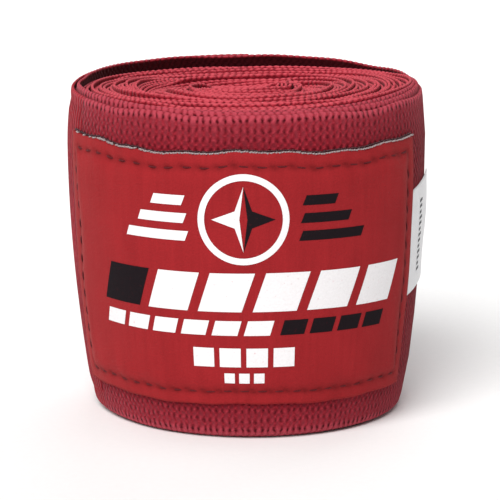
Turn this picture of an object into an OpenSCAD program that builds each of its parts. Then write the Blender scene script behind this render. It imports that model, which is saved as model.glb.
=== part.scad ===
// Hand wrap: one long ribbed cotton strap, wound into a roll that stands on its
// edge, held shut by a tapered hook-and-loop tab.
// Frame: millimetres, origin under the middle of the roll, +Z up,
// the sewn label panel faces -Y and the closure tab lies on the +Y side.

/* [Strap] */
// Width of the strap, which is the height of the roll
strap_w = 50.8; // [50.6:0.1:51.2]
// Thickness of the fabric
fabric_t = 0.45; // [0.40:0.01:0.46]
// Air between one turn and the next
turn_gap = 0.05; // [0.04:0.01:0.08]
// Radius of the second turn, where the last turn starts
roll_r = 27.1; // [26.6:0.1:27.6]
// How much lower the rim of the last turn sits than the rims inside it
rim_step = 1.0; // [0.5:0.1:1.5]

/* [Core] */
// Turns that stay with the outside of the roll when the core slips
outer_turns = 12; // [10:1:13]
// Turns between the outside and the flattened core
middle_turns = 20; // [19:1:21]
// Turns of those that slip endwise together with the core
slip_turns = 5; // [3:1:6]
// Turns in the flattened core
core_turns = 12; // [10:1:12]
// Extra length the core gains along X on each turn inwards
core_flatten = 0.3; // [0.2:0.02:0.32]

/* [Closure tab] */
// Angle of the tab's free edge, measured from the label side
tip_angle = 116; // [110:1:122]
// Arc between two bends of the tab
tab_segment = 50; // [45:5:50]
// Arc over which the tab narrows to its free edge
taper_arc = 65; // [55:5:70]
// Height cut off the top corner of the tab
top_cut = 14.5; // [10:0.5:16]
// Height cut off the bottom corner of the tab
bottom_cut = 6.2; // [4:0.2:8]
// Thickness of the hook tape
hook_t = 1.0; // [0.8:0.1:1.1]
// Arc of the folded hem at the free edge
hem_arc = 8; // [6:1:9]

/* [Label panel] */
// Height of the loop panel
panel_h = 38.9; // [36:0.1:40]
// Height of the panel's lower edge above the ground
panel_z = 5.7; // [4:0.1:7]
// Thickness of the loop panel
panel_t = 1.0; // [0.8:0.1:1.2]
// Height of the care label
care_h = 16.5; // [14:0.5:18]
// Arc that the care label shows
care_arc = 23; // [14:1:24]

/* [Thread] */
// Length of one stitch
stitch_l = 1.7; // [1.4:0.1:2.0]
// Distance from one stitch to the next
stitch_pitch = 2.7; // [2.4:0.1:3.2]
// Thickness of the thread
thread_d = 0.3; // [0.2:0.05:0.4]

/* [Thumb loop] */
// Width of the thumb loop's tape
loop_w = 13; // [10:0.5:16]
// Arc of the flattened loop inside the core
loop_arc = 300; // [270:15:300]

/* [Hidden] */
turn = 360;
half_t = fabric_t / 2;
pitch = fabric_t + turn_gap;
core_pitch = pitch + core_flatten;
skin = 0.03;
coarse = 15;
fine = 5;
// distance from the roll's axis to the middle of its box
axis_x = 0.65;
axis_y = -0.16;

// arc positions along the strap, in degrees wound inwards from its free edge
tab_bend_tip = tab_segment;
tab_bend_middle = 2 * tab_segment;
tab_bend_root = 3 * tab_segment;
ramp_arc = 45;
outer_end = turn + outer_turns * turn;
core_start = outer_end + middle_turns * turn;
core_slip = core_start - slip_turns * turn;
strap_end = core_start + core_turns * turn;
loop_end = strap_end + loop_arc;

rim_bottom = rim_step;
rim_top = strap_w - rim_step;
tip_bottom = rim_bottom + bottom_cut;
tip_top = rim_top - top_cut;
panel_from = 170;
panel_to = 308;
print_mid = panel_to - 66;
panel_top = panel_z + panel_h;
panel_face = half_t + skin + panel_t;
print_t = 0.12;
print_gap = 0.1;
care_t = 0.2;
emblem_z = 34.8;
emblem_r = 6.9;
ring_w = 1;
ring_gap = 0.02;
point_h = 0.05;
star_r = 5;
star_low = [emblem_z, emblem_z - 1.5, emblem_z - star_r];
star_high = [emblem_z + 0.1, emblem_z + 1.5, emblem_z + star_r];
wing_z = emblem_z - 3.4;
care_z = 19.4;
care_from = panel_to + 0.6;
care_to = panel_to + care_arc;
hook_inset = 1.0;
hook_from = hem_arc + 0.6;
stitch_inset = 2.1;
bend_gap = 0.3;
slip_gap = 1.5;
mm_per_degree = PI * (roll_r + 1.4) / 180;

fabric_c = [0.53, 0.06, 0.12];
fabric_dark_c = [0.42, 0.05, 0.10];
panel_c = [0.56, 0.08, 0.10];
hook_c = [0.30, 0.04, 0.07];
thread_c = [0.20, 0.03, 0.05];
hem_c = [0.60, 0.12, 0.17];
white_c = [0.92, 0.92, 0.90];
black_c = [0.05, 0.05, 0.06];

function ramp(x) = let (u = max(0, min(1, x))) u * u * (3 - 2 * u);
function between(a, b, u) = a + (b - a) * u;

// lift of the last turn where it rides over the hook tape
function lift(f) = (hook_t + 2 * turn_gap) * (1 - ramp((f - tab_bend_root) / ramp_arc));

// radius of the strap's middle before the core is flattened
function wound_r(f) =
    f < turn ? roll_r + pitch * (turn - f) / turn + lift(f)
  : f < core_start ? roll_r - pitch * (f - turn) / turn
  : roll_r - pitch * (core_start - turn) / turn - core_pitch * (f - core_start) / turn;

// half length of the flattened core at that turn
function flat_len(f) =
    f < core_start ? 0.0001
  : core_flatten * (min(f, strap_end + turn / 2) - core_start) / turn;

// point of the strap at arc position f, moved outwards by off
function at(f, off) =
    let (a = f + tip_angle,
         k = flat_len(f),
         s = sqrt(pow(sin(a), 2) + pow(0.12 * cos(a), 2)),
         h = wound_r(f) + off + k * s,
         g = k * sin(a) * cos(a) * (1 - 0.12 * 0.12) / max(s, 0.0001))
    [h * sin(a) + g * cos(a) + axis_x, -h * cos(a) + g * sin(a) + axis_y];

// arc stations on a fixed grid, so that neighbouring turns keep parallel facets
function grid_stations(f0, f1, step) =
    concat([f0], [for (i = [floor(f0 / step) + 1 : ceil(f1 / step) - 1]) i * step], [f1]);

function tab_top(f) = between(tip_top, rim_top, min(1, f / taper_arc));
function tab_bottom(f) = between(tip_bottom, rim_bottom, min(1, f / taper_arc));

// point on the straight facet between two grid stations
function on_facet(f, off, step) =
    let (a = floor(f / step) * step, u = (f - a) / step)
    u == 0 ? at(f, off) : at(a, off) * (1 - u) + at(a + step, off) * u;

// strip of even height wound along the strap
module wound_strip(f0, f1, inner, outer, z0, z1, step = coarse) {
    f = grid_stations(f0, f1, step);
    n = len(f) - 1;
    translate([0, 0, z0])
        linear_extrude(height = z1 - z0)
            polygon(concat([for (a = f) on_facet(a, outer, step)],
                           [for (i = [n:-1:0]) on_facet(f[i], inner, step)]));
}

// strip whose lower and upper edges change along the strap
module shaped_strip(f, inner, outer, low, high) {
    n = len(f) - 1;
    pts = [for (i = [0:n]) for (c = [[inner, low[i]], [outer, low[i]],
                                     [outer, high[i]], [inner, high[i]]])
           [at(f[i], c[0])[0], at(f[i], c[0])[1], c[1]]];
    sides = [for (i = [0:n - 1]) for (j = [0:3])
             let (a = 4 * i + j, b = 4 * i + (j + 1) % 4)
             for (t = [[a, b + 4, b], [a, a + 4, b + 4]]) t];
    polyhedron(points = pts,
               faces = concat([[0, 1, 2], [0, 2, 3]], sides,
                              [[4 * n, 4 * n + 2, 4 * n + 1],
                               [4 * n, 4 * n + 3, 4 * n + 2]]));
}

// piece of the tab between two arc positions, drawn in by inset
module tab_strip(f0, f1, inner, outer, inset) {
    f = grid_stations(f0, f1, fine);
    shaped_strip(f, inner, outer, [for (a = f) tab_bottom(a) + inset],
                 [for (a = f) tab_top(a) - inset]);
}

// one stitch lying on the surface, tilted to follow its seam
module stitch(f, off, z, tilt) {
    p = at(f, off + thread_d / 2 + skin);
    translate([p[0], p[1], z])
        rotate([0, 0, f + tip_angle])
            rotate([0, tilt, 0])
                cube([stitch_l, thread_d, thread_d], center = true);
}

// row of stitches from one arc position and height to another
module stitch_row(f0, z0, f1, z1, off) {
    run = (f1 - f0) * mm_per_degree;
    n = max(1, floor(norm([run, z1 - z0]) / stitch_pitch));
    tilt = atan2(z0 - z1, run);
    for (i = [0:n - 1])
        let (u = (i + 0.5) / n)
        stitch(between(f0, f1, u), off, between(z0, z1, u), tilt);
}

// top and bottom seams of the tab between two arc positions
module tab_seams(f0, f1) {
    mid = min(max(taper_arc, f0), f1);
    for (s = [[f0, mid], [mid, f1]])
        if (s[1] - s[0] > 3) {
            stitch_row(s[0], tab_top(s[0]) - stitch_inset,
                       s[1], tab_top(s[1]) - stitch_inset, half_t);
            stitch_row(s[0], tab_bottom(s[0]) + stitch_inset,
                       s[1], tab_bottom(s[1]) + stitch_inset, half_t);
        }
}

// printed patch on the panel: x across the panel from its middle, in millimetres
module print_patch(x, low, high) {
    mid = print_mid;
    f = [for (v = x) mid + v / mm_per_degree];
    shaped_strip(f, panel_face + print_gap, panel_face + print_gap + print_t, low, high);
}

// slanted block of the print, cut into short steps so it follows the curve
module print_block(x0, x1, z0, z1, slant) {
    n = max(1, ceil((x1 - x0) / 2.4));
    s = slant * (z1 - z0);
    x = concat([x0], [for (i = [0:n]) between(x0 + s, x1, i / n)], [x1 + s]);
    low = [for (v = x) v <= x1 ? z0 : z1 - point_h];
    high = [for (v = x) v >= x0 + s ? z1 : z0 + point_h];
    print_patch(x, low, high);
}

// ring of the emblem, in an upper and a lower half
module print_ring(x, z, r, w) {
    a = [for (i = [0:8]) 180 - i * 22.5];
    across = [for (v = a) x + r * cos(v)];
    outer = [for (v = a) r * sin(v) + ring_gap + point_h];
    inner = [for (v = a) let (d = pow(r - w, 2) - pow(r * cos(v), 2))
             (d > 0 ? sqrt(d) : 0) + ring_gap];
    print_patch(across, [for (v = inner) z + v], [for (v = outer) z + v]);
    print_patch(across, [for (v = outer) z - v], [for (v = inner) z - v]);
}

// innermost turns, flattened where the winding started
module strap_core_turns() {
    color(fabric_dark_c)
        wound_strip(core_start, strap_end, -half_t, half_t, 0, strap_w);
}

// round turns that slip endwise together with the core
module strap_slip_turns() {
    color(fabric_dark_c)
        wound_strip(core_slip + slip_gap, core_start, -half_t, half_t, 0, strap_w);
}

module strap_middle_turns() {
    color(fabric_dark_c)
        wound_strip(outer_end + slip_gap, core_slip, -half_t, half_t, 0, strap_w);
}

module strap_outer_turns() {
    color(fabric_c)
        wound_strip(turn, outer_end, -half_t, half_t, 0, strap_w);
}

// visible last turn, from the foot of the tab round to where it goes under the tab
module strap_last_turn() {
    color(fabric_c)
        wound_strip(tab_bend_root + bend_gap, turn, -half_t, half_t,
                    rim_bottom, rim_top, fine);
}

module strap_end_root() {
    color(fabric_c)
        tab_strip(tab_bend_middle + bend_gap, tab_bend_root - bend_gap, -half_t, half_t, 0);
}

module strap_end_middle() {
    color(fabric_c)
        tab_strip(tab_bend_tip + bend_gap, tab_bend_middle - bend_gap, -half_t, half_t, 0);
}

module strap_end_tip() {
    color(fabric_c)
        tab_strip(0, tab_bend_tip - bend_gap, -half_t, half_t, 0);
}

// end of the strap folded under along the free edge
module tab_hem() {
    color(hem_c)
        tab_strip(0.2, hem_arc, -half_t - skin - fabric_t, -half_t - skin, 0.3);
}

module hook_tape(f0, f1) {
    color(hook_c)
        tab_strip(f0, f1, -half_t - skin - hook_t, -half_t - skin, hook_inset);
}

module hook_tape_root() {
    hook_tape(tab_bend_middle + bend_gap, tab_bend_root - bend_gap);
}

module hook_tape_middle() {
    hook_tape(tab_bend_tip + bend_gap, tab_bend_middle - bend_gap);
}

module hook_tape_tip() {
    hook_tape(hook_from, tab_bend_tip - bend_gap);
}

module tab_stitching_root() {
    color(thread_c)
        tab_seams(tab_bend_middle + 1, tab_bend_root - 2);
}

module tab_stitching_middle() {
    color(thread_c)
        tab_seams(tab_bend_tip + 1, tab_bend_middle - 1);
}

module tab_stitching_tip() {
    color(thread_c) {
        tab_seams(hook_from + 2, tab_bend_tip - 1);
        stitch_row(hook_from, tab_bottom(hook_from) + stitch_inset,
                   hook_from, tab_top(hook_from) - stitch_inset, half_t);
    }
}

// loop panel that the hook tape also grips, sewn on around its edge
module label_patch() {
    color(panel_c)
        wound_strip(panel_from, panel_to, half_t + skin, panel_face,
                    panel_z, panel_top, fine);
}

module label_stitching() {
    side = stitch_inset / mm_per_degree;
    color(thread_c) {
        for (z = [panel_z + stitch_inset, panel_top - stitch_inset])
            stitch_row(panel_from + side, z, panel_to - side, z, panel_face);
        for (f = [panel_from + side, panel_to - side])
            stitch_row(f, panel_z + 1.6 * stitch_inset, f, panel_top - 1.6 * stitch_inset,
                       panel_face);
    }
}

// generic print in white: ring, half star and plain bars
module label_print_white() {
    color(white_c) {
        print_ring(0, emblem_z, emblem_r, ring_w);
        print_patch([-star_r, -1.5, -0.05], star_low, star_high);
        for (k = [0:2])
            print_block(-19.5 + k * 2.4, -9.2, wing_z + k * 2.7, wing_z + 1.5 + k * 2.7, 0.4);
        for (k = [0:4])
            print_block(-15.9 + k * 8.6, -9 + k * 8.6, 20.6, 26.6, 0.35);
        for (k = [0:5])
            print_block(-25.6 + k * 5.1, -21.5 + k * 5.1, 16.9, 19.2, 0.3);
        for (k = [0:3])
            print_block(-8.3 + k * 4.3, -4.9 + k * 4.3, 11.9, 14.9, 0);
        for (k = [0:2])
            print_block(-3.3 + k * 2.4, -1.6 + k * 2.4, 9.3, 10.9, 0);
    }
}

// generic print in black
module label_print_black() {
    color(black_c) {
        print_patch([0.05, 1.5, star_r], [for (i = [2:-1:0]) star_low[i]],
                    [for (i = [2:-1:0]) star_high[i]]);
        for (k = [0:2])
            print_block(8.2, 18.5 - k * 2.4, wing_z + k * 2.7, wing_z + 1.5 + k * 2.7, 0.4);
        print_block(-25.6, -17.6, 20.6, 26.6, 0.35);
        for (k = [0:3])
            print_block(5.6 + k * 4.8, 9.5 + k * 4.8, 16.9, 19.2, 0.3);
    }
}

// folded care label caught under the side of the panel
module care_label() {
    color(white_c)
        wound_strip(care_from, care_to, half_t + skin, half_t + skin + care_t,
                    care_z, care_z + care_h, fine);
}

// column of small ticks on the care label
module care_label_print() {
    tick_h = 0.45;
    color(black_c)
        for (k = [0:12]) {
            z = care_z + 2.6 + 2 * tick_h * k;
            wound_strip(care_from + 9, care_from + 9 + [3.2, 2.2, 2.8][k % 3],
                        half_t + 2 * skin + care_t, half_t + 2 * skin + care_t + print_t / 2,
                        z, z + tick_h, fine);
        }
}

// flattened loop of narrow tape sewn inside the strap's inner end
module thumb_loop() {
    z0 = (strap_w - loop_w) / 2;
    fold = 25;
    color(fabric_dark_c) {
        wound_strip(strap_end + 3, loop_end, -half_t, half_t, z0, z0 + loop_w);
        wound_strip(strap_end - fold, loop_end, -half_t - pitch, half_t - pitch,
                    z0, z0 + loop_w);
        wound_strip(loop_end - 3, loop_end, half_t - pitch - skin, -half_t + skin,
                    z0, z0 + loop_w);
    }
}

// upright seam that holds the loop's two ends to the strap
module thumb_loop_stitching() {
    color(thread_c)
        for (k = [-1.5:1.5])
            stitch(strap_end - 12, -half_t - pitch - thread_d - 3 * skin,
                   strap_w / 2 + k * stitch_pitch, 90);
}

/* [Hidden] */

strap_core_turns();
strap_slip_turns();
strap_middle_turns();
strap_outer_turns();
strap_last_turn();
strap_end_root();
strap_end_middle();
strap_end_tip();
tab_hem();
hook_tape_root();
hook_tape_middle();
hook_tape_tip();
tab_stitching_root();
tab_stitching_middle();
tab_stitching_tip();
label_patch();
label_stitching();
label_print_white();
label_print_black();
care_label();
care_label_print();
thumb_loop();
thumb_loop_stitching();
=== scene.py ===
import math

import bpy
import numpy as np
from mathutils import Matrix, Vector


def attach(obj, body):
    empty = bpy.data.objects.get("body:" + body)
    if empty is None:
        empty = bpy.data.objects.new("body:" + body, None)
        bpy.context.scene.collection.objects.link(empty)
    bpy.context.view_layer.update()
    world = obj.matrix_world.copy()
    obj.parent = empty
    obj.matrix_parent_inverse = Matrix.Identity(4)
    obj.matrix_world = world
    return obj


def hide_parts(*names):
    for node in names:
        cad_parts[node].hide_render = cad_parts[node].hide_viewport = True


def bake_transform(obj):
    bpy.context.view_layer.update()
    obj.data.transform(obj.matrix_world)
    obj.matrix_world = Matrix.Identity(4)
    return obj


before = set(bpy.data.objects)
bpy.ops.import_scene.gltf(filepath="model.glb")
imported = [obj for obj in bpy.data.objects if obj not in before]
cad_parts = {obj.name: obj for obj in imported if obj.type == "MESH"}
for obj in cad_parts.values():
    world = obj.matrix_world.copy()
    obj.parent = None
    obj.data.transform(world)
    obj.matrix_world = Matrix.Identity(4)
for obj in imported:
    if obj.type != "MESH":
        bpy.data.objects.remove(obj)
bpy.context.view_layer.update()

# ---- the roll's measures, in millimetres and degrees, as in the CAD ----
W, T, GAP = 50.8, 0.45, 0.05
PITCH = T + GAP
ROLL_R = 27.1
TIP = 116.0                      # angle of the tab's free edge
TAPER = 65.0                     # arc over which the tab narrows
TAB_TIP = (7.2, 35.3)            # its lower and upper corner at the free edge
TAB_END = 175                    # arc where the tab's cloth ends and the strap's begins
FACED_END = 1080                 # arc to which the strap's outer face has its full detail
OUTER_END = 360.0 * 13           # the turns that stay end here
CORE_START = 360.0 * 33          # the flattened core begins
SLIP_IN = CORE_START - 1800.0    # the innermost turns that slip begin
STRAP_END = CORE_START + 360.0 * 12
LOOP_END = STRAP_END + 300.0     # the thumb loop's fold
FLATTEN = 0.3                    # how much each turn of the core is longer than it is wide
LAST_TOP, LAST_LOW = 50.2, 0.5   # rims of the last turn in front
AXIS = np.array([0.65, -0.16])   # the roll's middle
HALF = T / 2
THIN = 0.2                       # half thickness of the turns whose rims show
RIB = 1.1                        # distance from one rib of the cloth to the next
PANEL = (170.0, 308.0, 5.7, 44.6)   # arc from, arc to, lower edge, upper edge
PRINT_HALF = 132                 # the print's middle is half this arc before the panel's end
PANEL_R = 28.3                   # radius of its face
PANEL_EDGE, PANEL_PAD = 0.45, 0.55  # the panel's rim stands this far out, its middle this much more
HEM_ARC = 8.0                    # arc of the folded hem at the tab's free edge
HOOKS_FROM, HOOKS_TO = 8.6, 150.0   # arc of the hook tape
HOOK_STEP = 1.5                  # distance between hooks
HOOK_BASE, HOOK_IN = 0.48, 1.0   # the hook tape's thickness, and its distance inside the tab
STITCH_PITCH, STITCH_LENGTH = 2.7, 1.75
SEAM_IN = 2.1                    # distance of each seam from its edge
LABEL_THREAD, TAB_THREAD, LOOP_THREAD = 0.00011, 0.00016, 0.0002   # radii, in metres
FIBRE = 0.00012                  # radius of a frayed fibre, in metres
MID_Z = W / 2
CARE = 23.0                      # arc that the care label shows
CARE_Z = (19.4, 35.9)            # its lower and upper edge
CARE_RISE = 1.5                  # how much higher its free end stands
LOOP_W = 13.0                    # width of the thumb loop's tape

rng = np.random.default_rng(7)


def smooth(x):
    """0 below 0, 1 above 1, and a soft step between."""
    x = np.clip(x, 0.0, 1.0)
    return x * x * (3 - 2 * x)


def lift(f):
    """How far the hook tape holds the tab off the roll."""
    return 1.1 * (1 - smooth((f - HOOKS_TO) / 45.0))


def wound_r(f):
    """Radius of the strap's middle at each arc position."""
    f = np.asarray(f, float)
    last = ROLL_R + PITCH * (360 - f) / 360 + lift(f)
    turns = ROLL_R - PITCH * (f - 360) / 360
    core = (ROLL_R - PITCH * (CORE_START - 360) / 360
            - (PITCH + FLATTEN) * (f - CORE_START) / 360)
    return np.where(f < 360, last, np.where(f < CORE_START, turns, core))


def taper(z):
    """The roll narrows a little towards its lower rim and at its upper rim."""
    low = np.clip((44 - z) / 44, 0, 1)
    top = np.clip((z - 41) / 10, 0, 1)
    foot = np.clip((6 - z) / 6, 0, 1)
    return 1 - 0.128 * low ** 2 - 0.028 * top ** 2 - 0.022 * foot ** 2


def lean(z):
    """The roll stands a little crooked: its foot is off to one side."""
    return 0.15 * smooth((44 - z) / 34)


def place(f, off, z):
    """Points of the roll: arc position, distance out of the strap's middle, height."""
    f, off, z = np.broadcast_arrays(*(np.asarray(v, float) for v in (f, off, z)))
    a = np.radians(f + TIP)
    k = np.where(f < CORE_START, 1e-4,
                 FLATTEN * (np.minimum(f, STRAP_END + 180) - CORE_START) / 360)
    s = np.sqrt(np.sin(a) ** 2 + (0.12 * np.cos(a)) ** 2)
    r = wound_r(f)
    # past the hook tape, the next three turns lean out against the last one at the top
    turn = np.floor(f / 360)
    arc = f - 360 * turn
    share = np.where((turn > 0) & (turn < 4), 1 - 0.25 * turn, 0)
    r = r + share * lift(arc) * smooth((arc - 146) / 14) * smooth((z - 26) / 18)
    deep = smooth((14 - r) / 6)
    bunch = (0.13 + 0.15 * deep) * smooth((26.4 - r) / 2)
    r = r + bunch * np.sin(1.9 * r + 2.2 * np.sin(2 * a + 0.7) + 1.3 * np.sin(3 * a + 0.4))
    h = r + off + k * s
    g = k * np.sin(a) * np.cos(a) * (1 - 0.0144) / np.maximum(s, 1e-3)
    x = h * np.sin(a) + g * np.cos(a)
    y = -h * np.cos(a) + g * np.sin(a)
    m = taper(z) * (1 + 0.0045 * np.sin(2 * a + 0.6) + 0.003 * np.sin(3 * a + 2.1)
                    + 0.0016 * np.sin(5 * a + 0.13 * z))
    return np.stack([(x * m + AXIS[0] + lean(z)) / 1000, (y * m + AXIS[1]) / 1000, z / 1000], -1)


# length along the strap at each arc position, measured once
ARCS = np.arange(0, LOOP_END + 2, 1.0)
LENGTHS = place(ARCS, 0, 30.0)[:, :2] * 1000
LENGTHS = np.concatenate([[0], np.cumsum(np.hypot(*np.diff(LENGTHS, axis=0).T))])


def length_at(f):
    """Length of strap from its free edge to arc position f."""
    return np.interp(f, ARCS, LENGTHS)


def arc_at(s):
    """Arc position at length s from the free edge."""
    return np.interp(s, LENGTHS, ARCS)


def outward(f):
    """Direction straight out of the roll at arc position f."""
    a = math.radians(f + TIP)
    return math.sin(a), -math.cos(a), 0


def tilt(f):
    """The last turn stands a little higher behind than in front."""
    a = np.radians(np.asarray(f, float) + TIP)
    return 1.3 * ((1 - np.cos(a)) / 2) ** 2 + 0.12 * np.sin(3 * a + 1)


def tab_top(f):
    """Upper edge of the tab, which slants down to its free edge."""
    return TAB_TIP[1] + (LAST_TOP - TAB_TIP[1]) * np.minimum(1, f / TAPER) + tilt(f)


def tab_low(f):
    """Lower edge of the tab."""
    return TAB_TIP[0] + (LAST_LOW - TAB_TIP[0]) * np.minimum(1, f / TAPER) + tilt(f)


def rim_top(f):
    """Upper edge of every turn: each lies at its own height, and the inner ones sink behind."""
    f = np.asarray(f, float)
    a = np.radians(f)
    turns = f / 360
    back = (1 - np.cos(a + math.radians(TIP))) / 2
    wave = (0.45 * np.sin(1.05 * a + 0.5) + 0.32 * np.sin(2.07 * a + 2.0)
            + 0.18 * np.sin(3.1 * a + 1.1) + 0.14 * np.sin(0.83 * a) + 0.10 * np.sin(5.3 * a + 0.3))
    sunk = (1 - np.cos(a + math.radians(TIP - 12))) / 2
    inside = smooth((turns - 1.45) / 0.35)
    height = 51.0 + 0.55 * back * (1 - inside) - 1.9 * sunk ** 2.5 * inside
    lone = np.sin(0.29 * a + 0.9 * np.sin(0.31 * a) + 0.7 * np.sin(1.3 * a))
    proud = smooth((lone - 0.45) / 0.35)
    height = height + (0.65 * proud * (0.35 + 0.65 * np.sin(0.23 * a + 1) ** 2) - 0.2) * inside
    height = height + 0.35 * np.exp(-((turns - 3.5) / 2) ** 2)
    height = height - 0.5 * np.exp(-((turns - 30) / 8) ** 2)
    u = smooth((f - 330) / 200)
    ripple = (0.16 * np.sin(7.3 * a) + 0.12 * np.sin(12.1 * a + 1)) * smooth((f - 178) / 20)
    return (LAST_TOP + tilt(f) + ripple) * (1 - u) + (height + (0.35 + 0.3 * inside) * wave) * u


def rim_low(f):
    """Lower edge of every turn."""
    u = smooth((np.asarray(f, float) - 330) / 200)
    a = np.radians(f)
    return (LAST_LOW + tilt(f)) * (1 - u) + (0.22 + 0.15 * np.sin(0.61 * a)) * u


# ---- meshes ----
def new_object(name, verts, faces, cloth):
    """A smooth mesh; cloth is each point's length along and across, and the value that sets its
    painted highlight and shade.
    """
    mesh = bpy.data.meshes.new(name)
    mesh.from_pydata(np.asarray(verts).tolist(), [], faces)
    mesh.update()
    mesh.polygons.foreach_set("use_smooth", np.ones(len(mesh.polygons), bool))
    layer = mesh.attributes.new("cloth", "FLOAT_VECTOR", "POINT")
    layer.data.foreach_set("vector", np.asarray(cloth, np.float32).ravel())
    ob = bpy.data.objects.new(name, mesh)
    bpy.context.scene.collection.objects.link(ob)
    return ob


def loop_faces(n, m, first=0):
    """Faces of n rings of m points, closed at both ends."""
    i, j = np.meshgrid(np.arange(n - 1), np.arange(m), indexing="ij")
    a = first + i * m + j
    b = first + i * m + (j + 1) % m
    faces = np.stack([a, a + m, b + m, b], -1).reshape(-1, 4).tolist()
    faces.append([first + k for k in range(m)])
    faces.append([first + (n - 1) * m + k for k in range(m - 1, -1, -1)])
    return faces


def strip(name, f0, f1, ds, low, top, inner=-HALF, outer=HALF, rows=0, relief=0.0,
          scallop=0.0, edge_w=1.3, round_off=0.25, outer_fn=None, dim=(0.0, -1.0)):
    """A band of cloth with thickness, wound along the strap from f0 to f1.

    The third value of each point's cloth coordinate is 1 on the selvedge, for its painted
    highlight, and falls to
    dim inside the edge, for painted shade: first for the outer face, then for the inner one."""
    n = max(2, int(round((length_at(f1) - length_at(f0)) / ds)) + 1)
    s = np.linspace(length_at(f0), length_at(f1), n)
    f = arc_at(s)
    f[0], f[-1] = f0, f1
    rib = np.abs(np.cos(np.pi * s / RIB)) ** 0.8
    zt = top(f) - scallop * (1 - rib)
    zb = low(f) + scallop * (1 - rib) * 0.7
    mid = (inner + outer) / 2
    levels = [(0.0, round_off, 1.0), (0.0, edge_w, 0.35)]
    levels += [((r + 1) / (rows + 1), 0.0, 0.0) for r in range(rows)]
    levels += [(1.0, -edge_w, 0.35), (1.0, -round_off, 1.0)]
    shaded = [(0.0, 0.1, 1.0), (0.0, 0.45, 0.0), (1.0, -0.45, 0.0), (1.0, -0.1, 1.0)]
    section = []
    for side, face, shade in ((1, outer, dim[0]), (-1, inner, dim[1])):
        rows_here = shaded if shade else levels
        for u, dz, e in (rows_here if side > 0 else rows_here[::-1]):
            e = e if e == 1.0 or shade == 0.0 else shade
            section.append((face, side, u, dz, e))
        section.append((mid, 0, 1.0 if side > 0 else 0.0, 0.0, 1.0))
    pts, cloth = [], []
    for face, side, u, dz, e in section:
        z = zb + (zt - zb) * u + dz
        off = face + side * relief * (rib - 0.6) * (0.4 if e == 1.0 else 1.0)
        if side > 0 and outer_fn is not None:
            off = off + outer_fn(f, z)
        pts.append(place(f, off, z))
        cloth.append(np.stack([s, z, np.full(n, e)], -1))
    m = len(section)
    pts = np.stack(pts, 1).reshape(-1, 3)
    cloth = np.stack(cloth, 1).reshape(-1, 3)
    return new_object(name, pts, loop_faces(n, m), cloth)


def capsules(name, ends, radius, sides=6, rings=7):
    """Stitches: each runs from one point to the other, standing proud in its middle."""
    verts, faces, cloth = [], [], []
    for (p, q, out) in ends:
        p, q, out = Vector(p), Vector(q), Vector(out).normalized()
        along = (q - p)
        side = along.cross(out).normalized()
        first = len(verts)
        for r in range(rings):
            u = r / (rings - 1)
            c = p.lerp(q, u) + out * (radius * (2.4 * math.sin(math.pi * u) ** 0.6 - 1.3))
            w = radius * (0.55 + 0.45 * math.sin(math.pi * u) ** 0.5)
            for k in range(sides):
                a = 2 * math.pi * k / sides
                verts.append(c + side * (w * math.cos(a) * 1.15) + out * (w * math.sin(a)))
                cloth.append((u * along.length * 1000 + first * 0.37, a, 0))
        faces += loop_faces(rings, sides, first)
    return new_object(name, [tuple(v) for v in verts], faces, cloth)


def seam(points):
    """Stitch ends along a line of (arc position, distance out, height) points."""
    p = np.array(points, float)
    mm = np.stack([length_at(p[:, 0]), p[:, 2]], -1)
    run = np.concatenate([[0], np.cumsum(np.hypot(*np.diff(mm, axis=0).T))])
    n = max(1, int(run[-1] / STITCH_PITCH))
    out = []
    for i in range(n):
        c = (i + 0.5) / n * run[-1] + rng.uniform(-0.12, 0.12)
        half = STITCH_LENGTH / 2 * rng.uniform(0.88, 1.08)
        ends = []
        for d in (c - half, c + half):
            f = arc_at(np.interp(d, run, mm[:, 0]))
            z = np.interp(d, run, p[:, 2]) + rng.uniform(-0.07, 0.07)
            ends.append((f, np.interp(d, run, p[:, 1]), z))
        out.append((place(*ends[0]), place(*ends[1]), outward(ends[0][0])))
    return out


# ---- materials ----
def feed(tree, socket, value):
    """Sets an input to a number or a colour, or links it to another node's output."""
    if isinstance(value, (int, float)):
        socket.default_value = value
    elif isinstance(value, tuple):
        socket.default_value = (*value, 1.0)
    elif value is not None:
        tree.links.new(value, socket)


def math_node(tree, op, a, b=None, clamp=False):
    n = tree.nodes.new("ShaderNodeMath")
    n.operation = op
    n.use_clamp = clamp
    feed(tree, n.inputs[0], a)
    feed(tree, n.inputs[1], b)
    return n.outputs[0]


def mix_colour(tree, fac, a, b, mode="MIX"):
    n = tree.nodes.new("ShaderNodeMix")
    n.data_type = "RGBA"
    n.blend_type = mode
    for i, v in ((0, fac), (6, a), (7, b)):
        feed(tree, n.inputs[i], v)
    return n.outputs[2]


def noise_node(tree, vector, scale, detail=3.0, rough=0.55):
    n = tree.nodes.new("ShaderNodeTexNoise")
    n.inputs["Scale"].default_value = scale
    n.inputs["Detail"].default_value = detail
    n.inputs["Roughness"].default_value = rough
    tree.links.new(vector, n.inputs["Vector"])
    return n.outputs["Fac"]


def vector_node(tree, x, y, z=0.0):
    n = tree.nodes.new("ShaderNodeCombineXYZ")
    for i, v in enumerate((x, y, z)):
        feed(tree, n.inputs[i], v)
    return n.outputs[0]


def material(name, rough=0.8, spec=0.25, sheen=0.0, sheen_tint=(1, 1, 1), sheen_rough=0.5):
    m = bpy.data.materials.new(name)
    m.use_nodes = True
    t = m.node_tree
    p = t.nodes["Principled BSDF"]
    p.inputs["Roughness"].default_value = rough
    p.inputs["Specular IOR Level"].default_value = spec
    p.inputs["Sheen Weight"].default_value = sheen
    p.inputs["Sheen Roughness"].default_value = sheen_rough
    p.inputs["Sheen Tint"].default_value = (*sheen_tint, 1)
    return m, t, p


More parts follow.
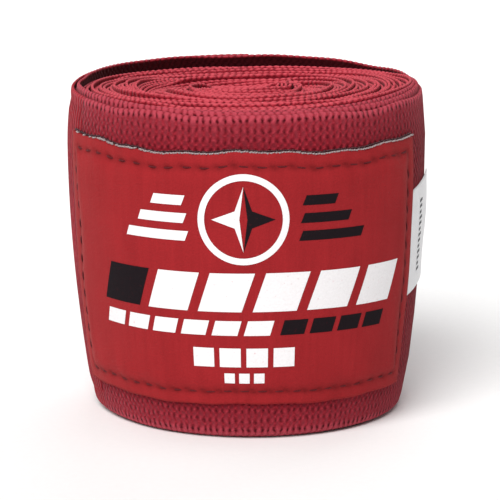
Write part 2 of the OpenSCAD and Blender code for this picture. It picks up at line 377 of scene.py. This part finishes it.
def cloth_coords(t):
    """Millimetres along the cloth and across it, and the value that sets its painted highlight and
    shade.
    """
    a = t.nodes.new("ShaderNodeAttribute")
    a.attribute_name = "cloth"
    x = t.nodes.new("ShaderNodeSeparateXYZ")
    t.links.new(a.outputs["Vector"], x.inputs[0])
    return x.outputs


def bump(t, p, height, distance, strength=1.0):
    b = t.nodes.new("ShaderNodeBump")
    b.inputs["Distance"].default_value = distance
    b.inputs["Strength"].default_value = strength
    t.links.new(height, b.inputs["Height"])
    t.links.new(b.outputs[0], p.inputs["Normal"])


def ribbed_cloth(name, ridge, groove, edge, rib_share=0.12, knot_highlight=0.6):
    """Elastic cotton tape: upright ribs crossed by staggered knots, with painted shade in the
    grooves and painted highlights on knots and selvedge.
    """
    weft, depth = 1.5, 0.0002    # distance between rows of knots in mm, bump in metres
    m, t, p = material(name, rough=0.85, spec=0.06, sheen=0.11, sheen_tint=(1.0, 0.45, 0.5),
                       sheen_rough=0.4)
    s, z, e = cloth_coords(t)
    v = vector_node(t, s, z)
    stray = noise_node(t, v, 0.55, 2.0, 0.5)
    drift = math_node(t, "SUBTRACT", noise_node(t, v, 0.8, 2.0, 0.5), 0.5)
    s2 = math_node(t, "ADD", s, math_node(t, "MULTIPLY", drift, 1.0))
    stray = math_node(t, "SUBTRACT", stray, 0.5)
    z2 = math_node(t, "ADD", z, math_node(t, "MULTIPLY", stray, 1.6))
    across = math_node(t, "COSINE", math_node(t, "MULTIPLY", s2, 2 * math.pi / RIB))
    up = math_node(t, "COSINE", math_node(t, "MULTIPLY", z2, 2 * math.pi / weft))
    ribs = math_node(t, "ADD", math_node(t, "MULTIPLY", across, 0.5), 0.5)
    ribs = math_node(t, "POWER", ribs, 0.6)
    knots = math_node(t, "MULTIPLY", math_node(t, "MULTIPLY", across, up), 0.5)
    knots = math_node(t, "ADD", knots, 0.5)
    yarn_v = vector_node(t, math_node(t, "MULTIPLY", s, 2.4), math_node(t, "MULTIPLY", z, 4.5))
    fibre = noise_node(t, yarn_v, 1.0, 4.0, 0.65)
    blotch = noise_node(t, v, 0.09, 3.0, 0.5)
    streak_v = vector_node(t, math_node(t, "MULTIPLY", s, 1.1), math_node(t, "MULTIPLY", z, 0.03))
    streak = noise_node(t, streak_v, 0.8, 2.0, 0.6)
    height = math_node(t, "ADD", math_node(t, "MULTIPLY", ribs, rib_share),
                       math_node(t, "MULTIPLY", knots, 1 - rib_share))
    height = math_node(t, "ADD", height, math_node(t, "MULTIPLY", fibre, 0.75))
    # painted shade: the grooves between ribs and knots get the darker colour, mixed with random
    # fibre and streak tone
    tone = math_node(t, "ADD", height, math_node(t, "MULTIPLY", streak, 0.4))
    tone = math_node(t, "SUBTRACT", tone, 0.55, clamp=True)
    colour = mix_colour(t, tone, groove, ridge)
    # painted highlight: the crowns of the knots are paler
    pale = math_node(t, "SUBTRACT", math_node(t, "MULTIPLY", knots, fibre), 0.40)
    pale = math_node(t, "MULTIPLY", pale, 3.0, clamp=True)
    colour = mix_colour(t, math_node(t, "MULTIPLY", pale, knot_highlight), colour, edge)
    shade = math_node(t, "ADD", math_node(t, "MULTIPLY", blotch, 0.6), 0.7)
    colour = mix_colour(t, 1.0, colour, vector_node(t, shade, shade, shade), "MULTIPLY")
    # painted highlight: the selvedge is paler where it catches the light, with painted shade in a
    # row of dark notches between the ribs just below it
    rim = math_node(t, "ADD", ribs, math_node(t, "MULTIPLY", fibre, 0.5))
    rim = math_node(t, "MULTIPLY", rim, e, clamp=True)
    colour = mix_colour(t, rim, colour, edge)
    below = math_node(t, "MULTIPLY", math_node(t, "SUBTRACT", e, 0.7), 4.0)
    below = math_node(t, "SUBTRACT", 1.0, math_node(t, "ABSOLUTE", below), clamp=True)
    gap = math_node(t, "SUBTRACT", 1.25, math_node(t, "MULTIPLY", ribs, 1.6), clamp=True)
    notch = math_node(t, "MULTIPLY", below, gap)
    colour = mix_colour(t, notch, colour, tuple(0.8 * c for c in groove))
    # painted shade: negative values mark faces that lie against the next turn, which are darkened
    inner = math_node(t, "MULTIPLY", e, -0.95, clamp=True)
    colour = mix_colour(t, inner, colour, tuple(0.35 * c for c in groove))
    t.links.new(colour, p.inputs["Base Color"])
    rough = math_node(t, "ADD", math_node(t, "MULTIPLY", fibre, 0.25), 0.68)
    t.links.new(rough, p.inputs["Roughness"])
    bump(t, p, height, depth)
    return m


def pile_cloth(name, base, dark):
    """Loop side of hook-and-loop: short brushed pile with faint streaks."""
    m, t, p = material(name, rough=0.9, spec=0.12, sheen=0.10, sheen_tint=(1.0, 0.5, 0.45),
                       sheen_rough=0.35)
    s, z, e = cloth_coords(t)
    v = vector_node(t, s, z)
    loops = noise_node(t, v, 3.2, 5.0, 0.7)
    streak_v = vector_node(t, math_node(t, "MULTIPLY", s, 0.8), math_node(t, "MULTIPLY", z, 0.06))
    streak = noise_node(t, streak_v, 1.0, 3.0, 0.6)
    blotch = noise_node(t, v, 0.14, 3.0, 0.5)
    drift = math_node(t, "ADD", math_node(t, "MULTIPLY", streak, 0.45),
                      math_node(t, "MULTIPLY", blotch, 0.35))
    tone = math_node(t, "ADD", math_node(t, "MULTIPLY", loops, 0.5), drift)
    tone = math_node(t, "MULTIPLY", math_node(t, "SUBTRACT", tone, 0.38), 2.2, clamp=True)
    colour = mix_colour(t, tone, dark, base)
    # painted shade along the seam's groove, deepest at the stitch holes
    colour = mix_colour(t, math_node(t, "MULTIPLY", e, 0.65), colour, tuple(0.2 * c for c in base))
    t.links.new(colour, p.inputs["Base Color"])
    bump(t, p, loops, 0.00016)
    return m


def ink(name, colour, worn, amount):
    """Printed ink that follows the pile, with a few worn specks."""
    m, t, p = material(name, rough=0.8, spec=0.1)
    s, z, e = cloth_coords(t)
    v = vector_node(t, s, z)
    grain = noise_node(t, v, 2.6, 4.0, 0.7)
    wear = math_node(t, "SUBTRACT", noise_node(t, v, 1.5, 5.0, 0.75), 0.60)
    wear = math_node(t, "MULTIPLY", wear, 9.0, clamp=True)
    shade = math_node(t, "ADD", math_node(t, "MULTIPLY", grain, 0.22), 0.89)
    c = mix_colour(t, 1.0, colour, vector_node(t, shade, shade, shade), "MULTIPLY")
    c = mix_colour(t, math_node(t, "MULTIPLY", wear, amount), c, worn)
    t.links.new(c, p.inputs["Base Color"])
    bump(t, p, grain, 0.00009)
    return m


def yarn(name, colour, light, rough=0.55, sheen=0.2):
    """Twisted thread or nylon, with a painted highlight along each turn of its twist."""
    m, t, p = material(name, rough=rough, spec=0.2, sheen=sheen, sheen_tint=(1, 0.7, 0.7))
    s, a, e = cloth_coords(t)
    twist = math_node(t, "ADD", math_node(t, "MULTIPLY", s, 11.0), a)
    h = math_node(t, "ABSOLUTE", math_node(t, "SINE", twist))
    c = mix_colour(t, h, colour, light)
    t.links.new(c, p.inputs["Base Color"])
    bump(t, p, h, 0.00005)
    return m


def satin(name, base, shadow):
    """Woven satin ribbon with fine lines across it."""
    m, t, p = material(name, rough=0.42, spec=0.45, sheen=0.15)
    s, z, e = cloth_coords(t)
    lines = math_node(t, "ABSOLUTE", math_node(t, "SINE", math_node(t, "MULTIPLY", z, 12.0)))
    n = noise_node(t, vector_node(t, s, z), 0.8, 3.0)
    tone = math_node(t, "MULTIPLY", math_node(t, "ADD", lines, n), 0.5, clamp=True)
    c = mix_colour(t, tone, shadow, base)
    t.links.new(c, p.inputs["Base Color"])
    bump(t, p, lines, 0.00003)
    return m


CLOTH = ribbed_cloth("strap_cloth", (0.245, 0.0085, 0.0170), (0.060, 0.0008, 0.0040),
                     (0.43, 0.054, 0.078))
# a lighter copy of the strap's cloth for the inner turns: painted light on their rims, which face
# the light from above, with some of the lightness from their fuzzy rims
CLOTH_IN = ribbed_cloth("strap_cloth_inside", (0.37, 0.018, 0.033), (0.14, 0.003, 0.009),
                        (0.57, 0.074, 0.098))
# a lighter copy of the strap's cloth for the tab: painted light, as the tab lies on the roll's
# back, away from the softbox
TAB_CLOTH = ribbed_cloth("tab_cloth", (0.31, 0.0135, 0.023), (0.115, 0.0035, 0.008),
                         (0.40, 0.034, 0.050), rib_share=0.8, knot_highlight=0.4)
PILE = pile_cloth("panel_pile", (0.335, 0.017, 0.021), (0.235, 0.011, 0.014))
WHITE = ink("white_ink", (0.79, 0.77, 0.78), (0.50, 0.20, 0.21), 0.5)
BLACK = ink("black_ink", (0.009, 0.005, 0.007), (0.10, 0.010, 0.014), 0.4)
# the thread is much darker than the cloth: painted shade of the stitch holes it lies in
THREAD = yarn("sewing_thread", (0.050, 0.003, 0.006), (0.13, 0.008, 0.012), 0.7, sheen=0.02)
RAW = yarn("raw_edge_fibre", (0.12, 0.07, 0.08), (0.46, 0.40, 0.40), 0.8)
# near-black fibres that stand for the shadow above the panel's raw edge
EDGE_SHADOW_LINE = yarn("edge_shadow_line", (0.012, 0.002, 0.005), (0.05, 0.006, 0.012), 0.8)
HOOK = yarn("hook_nylon", (0.075, 0.004, 0.009), (0.17, 0.009, 0.018), 0.45)
SATIN = satin("care_satin", (0.84, 0.84, 0.85), (0.62, 0.62, 0.64))
GREY_INK = ink("grey_ink", (0.12, 0.12, 0.13), (0.5, 0.5, 0.5), 0.3)


def finish_piece(ob, mat, body=None, blend=None, nodes=()):
    """Gives a piece its material, and makes it ride on a body; a piece given a blend only has its
    transform baked into its mesh.
    """
    ob.data.materials.append(mat)
    if nodes:
        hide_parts(*nodes)
    if body:
        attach(ob, body)
    if blend:
        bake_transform(ob)


# ---- camera: the label side, seen a little from above ----
scene = bpy.context.scene
cam = bpy.data.objects.new("camera", bpy.data.cameras.new("camera"))
scene.collection.objects.link(cam)
cam.location = (AXIS[0] / 1000, -0.492, 0.1287)
target = Vector((AXIS[0] / 1000, 0.0, 0.0243))
cam.rotation_euler = (target - cam.location).to_track_quat("-Z", "Y").to_euler()
cam.data.angle = math.radians(8.95)
cam.data.clip_start, cam.data.clip_end = 0.01, 10
scene.camera = cam

# ---- the strap ----
strap = strip("coil_strap", TAB_END, FACED_END, 0.2, rim_low, rim_top, rows=6, relief=0.015,
              scallop=0.12)
finish_piece(strap, CLOTH, body="coil",
             nodes=["strap_outer_turns", "strap_last_turn"])

# the turns whose rims show: those that stay, those that slip, and the half turns between
INNER = (
    ("coil_strap_inside", FACED_END, OUTER_END - 180, "strap_fabric", "coil", None, ()),
    ("slip_outer", OUTER_END - 180, OUTER_END, "strap_fabric_inner", None,
     ("coil", "middle_turns"), ()),
    ("middle_strap", OUTER_END, SLIP_IN - 180, "strap_fabric_inner", "middle_turns", None,
     ("strap_middle_turns",)),
    ("slip_inner", SLIP_IN - 180, SLIP_IN, "strap_fabric_inner", None,
     ("middle_turns", "inner_turns"), ()),
    ("core_strap", SLIP_IN, STRAP_END, "strap_fabric_inner", "inner_turns", None,
     ("strap_core_turns", "strap_slip_turns")),
)
for name, f0, f1, slot, body, between, nodes in INNER:
    # dim darkens the faces of these turns: painted shade in the gaps between them
    ob = strip(name, f0, f1, 0.3, rim_low, rim_top, relief=0.03, inner=-THIN, outer=THIN,
               scallop=0.15, dim=(-0.08, -0.4))
    blend = (*between, f0, f1, 0, MID_Z) if between else None
    finish_piece(ob, CLOTH_IN, body=body, blend=blend, nodes=nodes)

# ---- the tab, in three lengths ----
# bodies before and after the bend, arc where it begins and ends, the cloth's arc, its name
TAB = (
    ("tab_middle", "tab_tip", 51, 28, 0, 75, "tip"),
    ("tab_root", "tab_middle", 101, 78, 75, 125, "middle"),
    ("coil", "tab_root", 151, 128, 125, TAB_END, "root"),
)


def seam_pull(f, z):
    """The cloth dips along the seams."""
    d1 = np.abs(z - (tab_top(f) - SEAM_IN))
    d2 = np.abs(z - (tab_low(f) + SEAM_IN))
    return -0.22 * np.exp(-(np.minimum(d1, d2) / 0.8) ** 2)


def hook_points(f, z):
    """One hook: a stem with a wider, flat head, as rings of four points."""
    for off, w in ((0.46, 0.16), (0.78, 0.10), (0.90, 0.26), (0.98, 0.12)):
        df = math.degrees(w / 27.5)
        for k, (across, up) in enumerate(((df, 0), (0, w), (-df, 0), (0, -w))):
            yield place(f + across, -HALF - off, z + up), ((-HALF - off) * 3, k, 0)


for before, after, bend_from, bend_to, f0, f1, tag in TAB:
    bend = (before, after, bend_from, bend_to, 0, MID_Z)
    ob = strip("tab_cloth_" + tag, f0, f1, 0.21, tab_low, tab_top, rows=26, relief=0.05,
               scallop=0.10, edge_w=0.95, outer_fn=seam_pull)
    finish_piece(ob, TAB_CLOTH, blend=bend, nodes=["strap_end_" + tag])
    wide = float(np.mean([tab_top(f) - tab_low(f) for f in np.linspace(f0, f1, 9)]))

    h0, h1 = max(f0, HOOKS_FROM), min(f1, HOOKS_TO)
    base = strip("hook_base_" + tag, h0, h1, 0.6, lambda f: tab_low(f) + HOOK_IN,
                 lambda f: tab_top(f) - HOOK_IN, inner=-HALF - HOOK_BASE, outer=-HALF - 0.03,
                 rows=4, round_off=0.1, edge_w=0.6)
    finish_piece(base, HOOK, blend=bend, nodes=["hook_tape_" + tag])
    verts, faces, cl = [], [], []
    for s in np.arange(length_at(h0) + 0.8, length_at(h1) - 0.5, HOOK_STEP):
        f = float(arc_at(s))
        stagger = 0.5 * HOOK_STEP if int(s / HOOK_STEP) % 2 else 0
        for z in np.arange(tab_low(f) + 2.0, tab_top(f) - 2.0, HOOK_STEP):
            faces += loop_faces(4, 4, len(verts))
            for point, shade in hook_points(f, z + stagger):
                verts.append(point)
                cl.append(shade)
    hooks = new_object("hooks_" + tag, verts, faces, cl)
    finish_piece(hooks, HOOK, blend=bend)

    g = np.linspace(max(f0, 9.5), min(f1, HOOKS_TO), 30)
    lines = seam([(v, HALF - 0.24, tab_top(v) - SEAM_IN) for v in g])
    lines += seam([(v, HALF - 0.24, tab_low(v) + SEAM_IN) for v in g])
    if tag == "tip":
        f = 9.2    # just inside the hem
        heights = np.linspace(tab_low(f) + SEAM_IN, tab_top(f) - SEAM_IN, 12)
        lines += seam([(f, HALF + 0.08, z) for z in heights])
    stitches = capsules("tab_stitches_" + tag, lines, TAB_THREAD)
    finish_piece(stitches, THREAD, blend=bend, nodes=["tab_stitching_" + tag])

hem = strip("hem_fold", -0.6, HEM_ARC, 0.3, lambda f: tab_low(np.maximum(f, 0)) + 0.15,
            lambda f: tab_top(np.maximum(f, 0)) - 0.15, inner=-HALF - 0.42, outer=HALF + 0.14,
            rows=10, round_off=0.2, edge_w=0.8, relief=0.03)
finish_piece(hem, TAB_CLOTH, body="tab_tip", nodes=["tab_hem"])

# ---- the printed panel ----
P0, P1, PZ0, PZ1 = PANEL
PS0, PS1 = length_at(P0), length_at(P1)
PMID = (length_at(P1 - PRINT_HALF) + PS1) / 2     # middle of the print
SCALE = (ROLL_R + 1.5) / ROLL_R    # the panel's face is this much longer than the strap below it


def panel_edges(f):
    """Lower and upper edge of the panel, a little wavy."""
    w = 0.25 * np.sin(0.11 * f) + 0.12 * np.sin(0.37 * f + 1)
    return PZ0 + tilt(f) + 0.5 * w, PZ1 + tilt(f) + w


def panel_face(f, z):
    """How far the panel's surface stands out of the strap's middle."""
    lo, hi = panel_edges(f)
    side = np.minimum(length_at(f) - PS0, PS1 - length_at(f))
    d = np.minimum(np.minimum(z - lo, hi - z), side)
    body = HALF + PANEL_EDGE + PANEL_PAD * smooth(d / 4.5)
    s = length_at(f)
    stitch = 0.5 + 0.5 * np.cos(2 * np.pi * (s + z) / STITCH_PITCH)
    groove = 0.26 * np.exp(-((d - SEAM_IN) / 0.65) ** 2) * (0.55 + 0.45 * stitch)
    pucker = 0.07 * np.sin(s * 0.9 + 0.3 * z) * np.exp(-((d - 3.0) / 2.0) ** 2)
    soft = 0.05 * np.sin(0.35 * s + 0.2 * z) + 0.04 * np.sin(0.42 * z + 0.11 * s + 1)
    return body - groove + pucker + soft


def seam_shade(s, z, side):
    """Painted shade of the pile in its seam's groove, deepest at the stitch holes."""
    hole = (0.5 + 0.5 * np.cos(2 * np.pi * (s + z) / STITCH_PITCH)) ** 3
    return np.exp(-((side - SEAM_IN) / 0.5) ** 2) * (0.4 + 0.6 * hole)


n_s, n_z = 190, 100
ss = np.linspace(PS0, PS1, n_s)
ff = arc_at(ss)
pts, cloth = [], []
for k in range(n_z):
    u = k / (n_z - 1)
    lo, hi = panel_edges(ff)
    z = lo + (hi - lo) * u
    pts.append(place(ff, panel_face(ff, z), z))
    side = np.minimum(np.minimum(ss - PS0, PS1 - ss), np.minimum(z - lo, hi - z))
    cloth.append(np.stack([ss * SCALE, z, seam_shade(ss, z, side)], -1))
front = np.stack(pts, 1)
z_lo, z_hi = panel_edges(ff)
back = np.stack([place(ff, HALF + 0.05, z_lo), place(ff, HALF + 0.05, z_hi)], 1)
verts = np.concatenate([front.reshape(-1, 3), back.reshape(-1, 3)])
back_cloth = np.stack([np.stack([ss, z_lo, ss * 0], -1), np.stack([ss, z_hi, ss * 0], -1)], 1)
cl = np.concatenate([np.stack(cloth, 1).reshape(-1, 3), back_cloth.reshape(-1, 3)])
faces = []
for i in range(n_s - 1):
    for k in range(n_z - 1):
        a = i * n_z + k
        faces.append([a, a + n_z, a + n_z + 1, a + 1])
    b = n_s * n_z + 2 * i
    faces.append([b, b + 1, b + 3, b + 2])
    faces.append([i * n_z, b, b + 2, (i + 1) * n_z])
    faces.append([i * n_z + n_z - 1, (i + 1) * n_z + n_z - 1, b + 3, b + 1])
b = n_s * n_z
faces.append(list(range(n_z)) + [b + 1, b])
e = (n_s - 1) * n_z
faces.append([e + k for k in range(n_z - 1, -1, -1)] + [b + 2 * (n_s - 1), b + 2 * (n_s - 1) + 1])
panel = new_object("label_panel", verts, faces, cl)
finish_piece(panel, PILE, body="coil", nodes=["label_patch"])

# raw woven edge: short fibres along the panel's rim
ends = []
for s in np.arange(PS0 + 0.2, PS1 - 0.2, 0.42):
    f = float(arc_at(s))
    if rng.random() < 0.5 * (1 - smooth((s - PS0) / 22)):
        continue
    lo, hi = panel_edges(f)
    d = rng.uniform(-0.35, 0.35)
    f2 = float(arc_at(s + 0.55 + d * 0.3))
    ends.append((place(f, HALF + rng.uniform(0.25, 0.5), hi - 0.02),
                 place(f2, HALF + rng.uniform(0.25, 0.55), hi + rng.uniform(0.02, 0.16)),
                 outward(f)))
raw = capsules("panel_raw_edge", ends, FIBRE, sides=4, rings=4)
finish_piece(raw, RAW, body="coil")
# painted shadow: a row of near-black fibres just above the raw edge stands for the shadow in the
# gap between it and the strap
ends = []
for s in np.arange(PS0 + 0.3, PS1 - 0.9, 0.6):
    f, f2 = float(arc_at(s)), float(arc_at(s + 0.8))
    z, z2 = (panel_edges(v)[1] + 0.22 + rng.uniform(-0.05, 0.1) for v in (f, f2))
    ends.append((place(f, HALF + 0.12, z), place(f2, HALF + 0.12, z2), outward(f)))
dark_edge = capsules("panel_edge_shadow_line", ends, FIBRE, sides=4, rings=4)
finish_piece(dark_edge, EDGE_SHADOW_LINE, body="coil")


def panel_seam(points):
    """A seam through the panel's face at these arcs and heights."""
    return seam([(f, panel_face(f, z) - 0.02, z) for f, z in points])


df = math.degrees(SEAM_IN / PANEL_R)
g = np.linspace(P0 + df, P1 - df, 60)
lines = panel_seam([(v, panel_edges(v)[1] - SEAM_IN) for v in g])
lines += panel_seam([(v, panel_edges(v)[0] + SEAM_IN) for v in g])
for f in (P0 + df, P1 - df):
    heights = np.linspace(PZ0 + 2 * SEAM_IN, PZ1 - 2 * SEAM_IN, 20) + tilt(f)
    lines += panel_seam([(f, z) for z in heights])
stitches = capsules("label_stitches", lines, LABEL_THREAD)
finish_piece(stitches, THREAD, body="coil", nodes=["label_stitching"])


# ---- generic print: plain shapes, no letters ----
class Print:
    """Flat shapes of ink that follow the panel's face."""
    def __init__(self):
        self.verts, self.faces, self.cloth = [], [], []

    def add(self, points, cloth):
        """Adds a grid of points and the faces between them."""
        first = len(self.verts)
        n, m = points.shape[:2]
        self.verts += points.reshape(-1, 3).tolist()
        self.cloth += cloth.reshape(-1, 3).tolist()
        for i in range(n - 1):
            for j in range(m - 1):
                a = first + i * m + j
                self.faces.append([a, a + m, a + m + 1, a + 1])

    def grid(self, fn, nu, nv):
        """fn(u, v) gives x across and z up on the panel, in millimetres."""
        u, v = np.meshgrid(np.linspace(0, 1, nu + 1), np.linspace(0, 1, nv + 1), indexing="ij")
        x, z = fn(u, v)
        s = PMID + x / SCALE
        f = arc_at(s)
        z = z + tilt(f)
        self.add(place(f, panel_face(f, z) + 0.045, z), np.stack([s * SCALE, z, z * 0], -1))

    def bar(self, x0, x1, z0, z1, slant=0.0):
        def fn(u, v):
            return x0 + (x1 - x0) * u + slant * (z1 - z0) * v, z0 + (z1 - z0) * v
        self.grid(fn, max(4, int(abs(x1 - x0) / 0.5)), max(3, int((z1 - z0) / 0.5)))

    def ring(self, x, z, r0, r1):
        def fn(u, v):
            a = 2 * np.pi * u
            r = r0 + (r1 - r0) * v
            return x + r * np.cos(a), z + r * np.sin(a)
        self.grid(fn, 72, 3)

    def fan(self, outline, centre):
        """Filled shape, seen whole from its centre."""
        o = np.array(outline, float)
        k = np.arange(len(o))
        fine = np.linspace(0, len(o) - 1, (len(o) - 1) * 8 + 1)
        ox, oz = np.interp(fine, k, o[:, 0]), np.interp(fine, k, o[:, 1])

        def fn(u, v):
            i = np.round(u * (len(fine) - 1)).astype(int)
            v = 0.02 + 0.98 * v
            return centre[0] + (ox[i] - centre[0]) * v, centre[1] + (oz[i] - centre[1]) * v
        self.grid(fn, len(fine) - 1, 8)

    def make(self, name, mat, slot, cad, body="coil", blend=None):
        ob = new_object(name, self.verts, self.faces, self.cloth)
        finish_piece(ob, mat, body=body, blend=blend, nodes=[cad])


white, black = Print(), Print()
EMBLEM_Z = 34.8
white.ring(0, EMBLEM_Z, 5.9, 6.9)
star = [(0, 5.0), (-1.3, 1.3), (-4.8, 0), (-1.3, -1.3), (0, -5.0)]
white.fan([(x, EMBLEM_Z + z) for x, z in star], (-0.6, EMBLEM_Z))
black.fan([(-x, EMBLEM_Z + z) for x, z in star], (0.6, EMBLEM_Z))
for k in range(3):
    z = EMBLEM_Z - 3.4 + 2.7 * k
    white.bar(-19.5 + 2.4 * k, -9.0 - 0.25 * k, z, z + 1.5, 0.4)
    black.bar(8.4 + 0.25 * k, 18.9 - 2.4 * k, z, z + 1.5, 0.4)
z = 20.6
black.bar(-25.6, -17.6, z, z + 6.0, 0.35)
for k in range(5):
    white.bar(-15.9 + 8.6 * k, -9.0 + 8.6 * k, z, z + 6.0, 0.35)
for k in range(6):
    white.bar(-25.6 + 5.1 * k, -21.5 + 5.1 * k, 16.9, 19.2, 0.3)
for k in range(4):
    black.bar(5.6 + 4.8 * k, 9.5 + 4.8 * k, 16.9, 19.2, 0.3)
for k in range(4):
    white.bar(-8.3 + 4.3 * k, -4.9 + 4.3 * k, 11.9, 14.9)
for k in range(3):
    white.bar(-3.3 + 2.4 * k, -1.6 + 2.4 * k, 9.3, 10.9)
white.make("print_white", WHITE, "print_white", "label_print_white")
black.make("print_black", BLACK, "print_black", "label_print_black")

# ---- care label, caught under the panel's side ----
C0, C1 = P1 - 1.0, P1 + CARE
CZ0, CZ1 = CARE_Z
CARE_BEND = ("coil", "care_flap", P1 + 0.2, P1 + 4.5, 0.4, 27.6)


def care_wave(f, z):
    """How far the ribbon's loose end lifts and curls."""
    u = np.clip((f - P1) / CARE, 0, 1)
    return 0.22 * u ** 2 + 0.10 * np.sin(0.45 * z) * u


def care_rise(f):
    """How far the ribbon rises from its caught end to its free end."""
    return tilt(f) + CARE_RISE * (f - C0) / CARE


n_s, n_z = 26, 30
ff = np.linspace(C0, C1, n_s)
verts, cl = [], []
for layer in (0.24, 0.06):
    for k in range(n_z):
        z = CZ0 + (CZ1 - CZ0) * k / (n_z - 1) + care_rise(ff)
        verts.append(place(ff, HALF + layer + care_wave(ff, z), z))
        cl.append(np.stack([length_at(ff), z, z * 0], -1))
verts = np.stack(verts, 1).reshape(-1, 3)
cl = np.stack(cl, 1).reshape(-1, 3)
order = list(range(n_z)) + list(range(2 * n_z - 1, n_z - 1, -1))
verts = verts.reshape(n_s, 2 * n_z, 3)[:, order].reshape(-1, 3)
cl = cl.reshape(n_s, 2 * n_z, 3)[:, order].reshape(-1, 3)
care = new_object("care_label_ribbon", verts, loop_faces(n_s, 2 * n_z), cl)
finish_piece(care, SATIN, blend=CARE_BEND, nodes=["care_label"])
ticks = Print()
for k in range(13):
    wide = (3.2, 2.2, 2.8)[k % 3]
    u, v = np.meshgrid(np.linspace(0, 1, 7), np.linspace(0, 1, 3), indexing="ij")
    f = P1 + 9.0 + wide * u
    z = CZ0 + 2.6 + 0.9 * k + 0.45 * v + care_rise(f)
    ticks.add(place(f, HALF + 0.27 + care_wave(f, z), z),
              np.stack([length_at(f), z, z * 0], -1))
ticks.make("care_label_lines", GREY_INK, "print_black", "care_label_print", body=None,
           blend=CARE_BEND)

# ---- thumb loop in the core ----
LOOP = (
    ("thumb_loop_tape", STRAP_END + 4, 0, ("thumb_loop",)),
    ("thumb_loop_return", STRAP_END - 25, PITCH, ()),
)
for name, f0, inward, nodes in LOOP:
    ob = strip(name, f0, LOOP_END - 2, 0.3, lambda f: (W - LOOP_W) / 2 + 0 * f,
               lambda f: (W + LOOP_W) / 2 + 0 * f, inner=-HALF - inward, outer=HALF - inward,
               relief=0.02, scallop=0.08)
    finish_piece(ob, CLOTH_IN, body="inner_turns", nodes=nodes)
ends = []
seam_f, off = STRAP_END - 12, -HALF - PITCH - 0.05
for k in (-1.5, -0.5, 0.5, 1.5):
    z = W / 2 + STITCH_PITCH * k
    ends.append((place(seam_f, off, z - 0.85), place(seam_f, off, z + 0.85),
                 tuple(-c for c in outward(seam_f))))
ob = capsules("thumb_loop_stitches", ends, LOOP_THREAD)
finish_piece(ob, THREAD, body="inner_turns", nodes=["thumb_loop_stitching"])

# ---- floor and light ----
mesh = bpy.data.meshes.new("floor")
mesh.from_pydata([(-3, -3, 0), (3, -3, 0), (3, 3, 0), (-3, 3, 0)], [], [(0, 1, 2, 3)])
floor = bpy.data.objects.new("floor", mesh)
scene.collection.objects.link(floor)
m, t, p = material("floor_paper", rough=0.7, spec=0.2)
coords = t.nodes.new("ShaderNodeTexCoord")
grain = noise_node(t, coords.outputs["Object"], 900.0, 2.0)
t.links.new(mix_colour(t, grain, (0.87, 0.87, 0.87), (0.91, 0.91, 0.91)), p.inputs["Base Color"])
mesh.materials.append(m)


def area_light(name, where, aim, size, power):
    d = bpy.data.lights.new(name, "AREA")
    d.shape = "RECTANGLE"
    d.size, d.size_y = size
    d.energy = power
    ob = bpy.data.objects.new(name, d)
    scene.collection.objects.link(ob)
    ob.location = where
    ob.rotation_euler = (Vector(aim) - Vector(where)).to_track_quat("-Z", "Y").to_euler()


sun = bpy.data.lights.new("softbox", "SUN")
sun.energy, sun.angle, sun.color = 3.3, math.radians(38), (1.0, 0.99, 0.98)
ob = bpy.data.objects.new("softbox", sun)
scene.collection.objects.link(ob)
ob.rotation_euler = Vector((0.264, 0.66, -0.704)).to_track_quat("-Z", "Y").to_euler()
area_light("back", (0.25, 0.8, 0.7), (0, 0, 0.02), (0.8, 0.5), 3.0)
area_light("back_low", (-0.55, 0.75, 0.2), (0, 0, 0.03), (0.5, 0.4), 2.0)
world = bpy.data.worlds.new("studio")
scene.world = world
world.use_nodes = True
sky = world.node_tree.nodes["Background"]
sky.inputs["Color"].default_value = (1, 1, 1, 1)
sky.inputs["Strength"].default_value = 0.36
scene.view_settings.view_transform = "Standard"
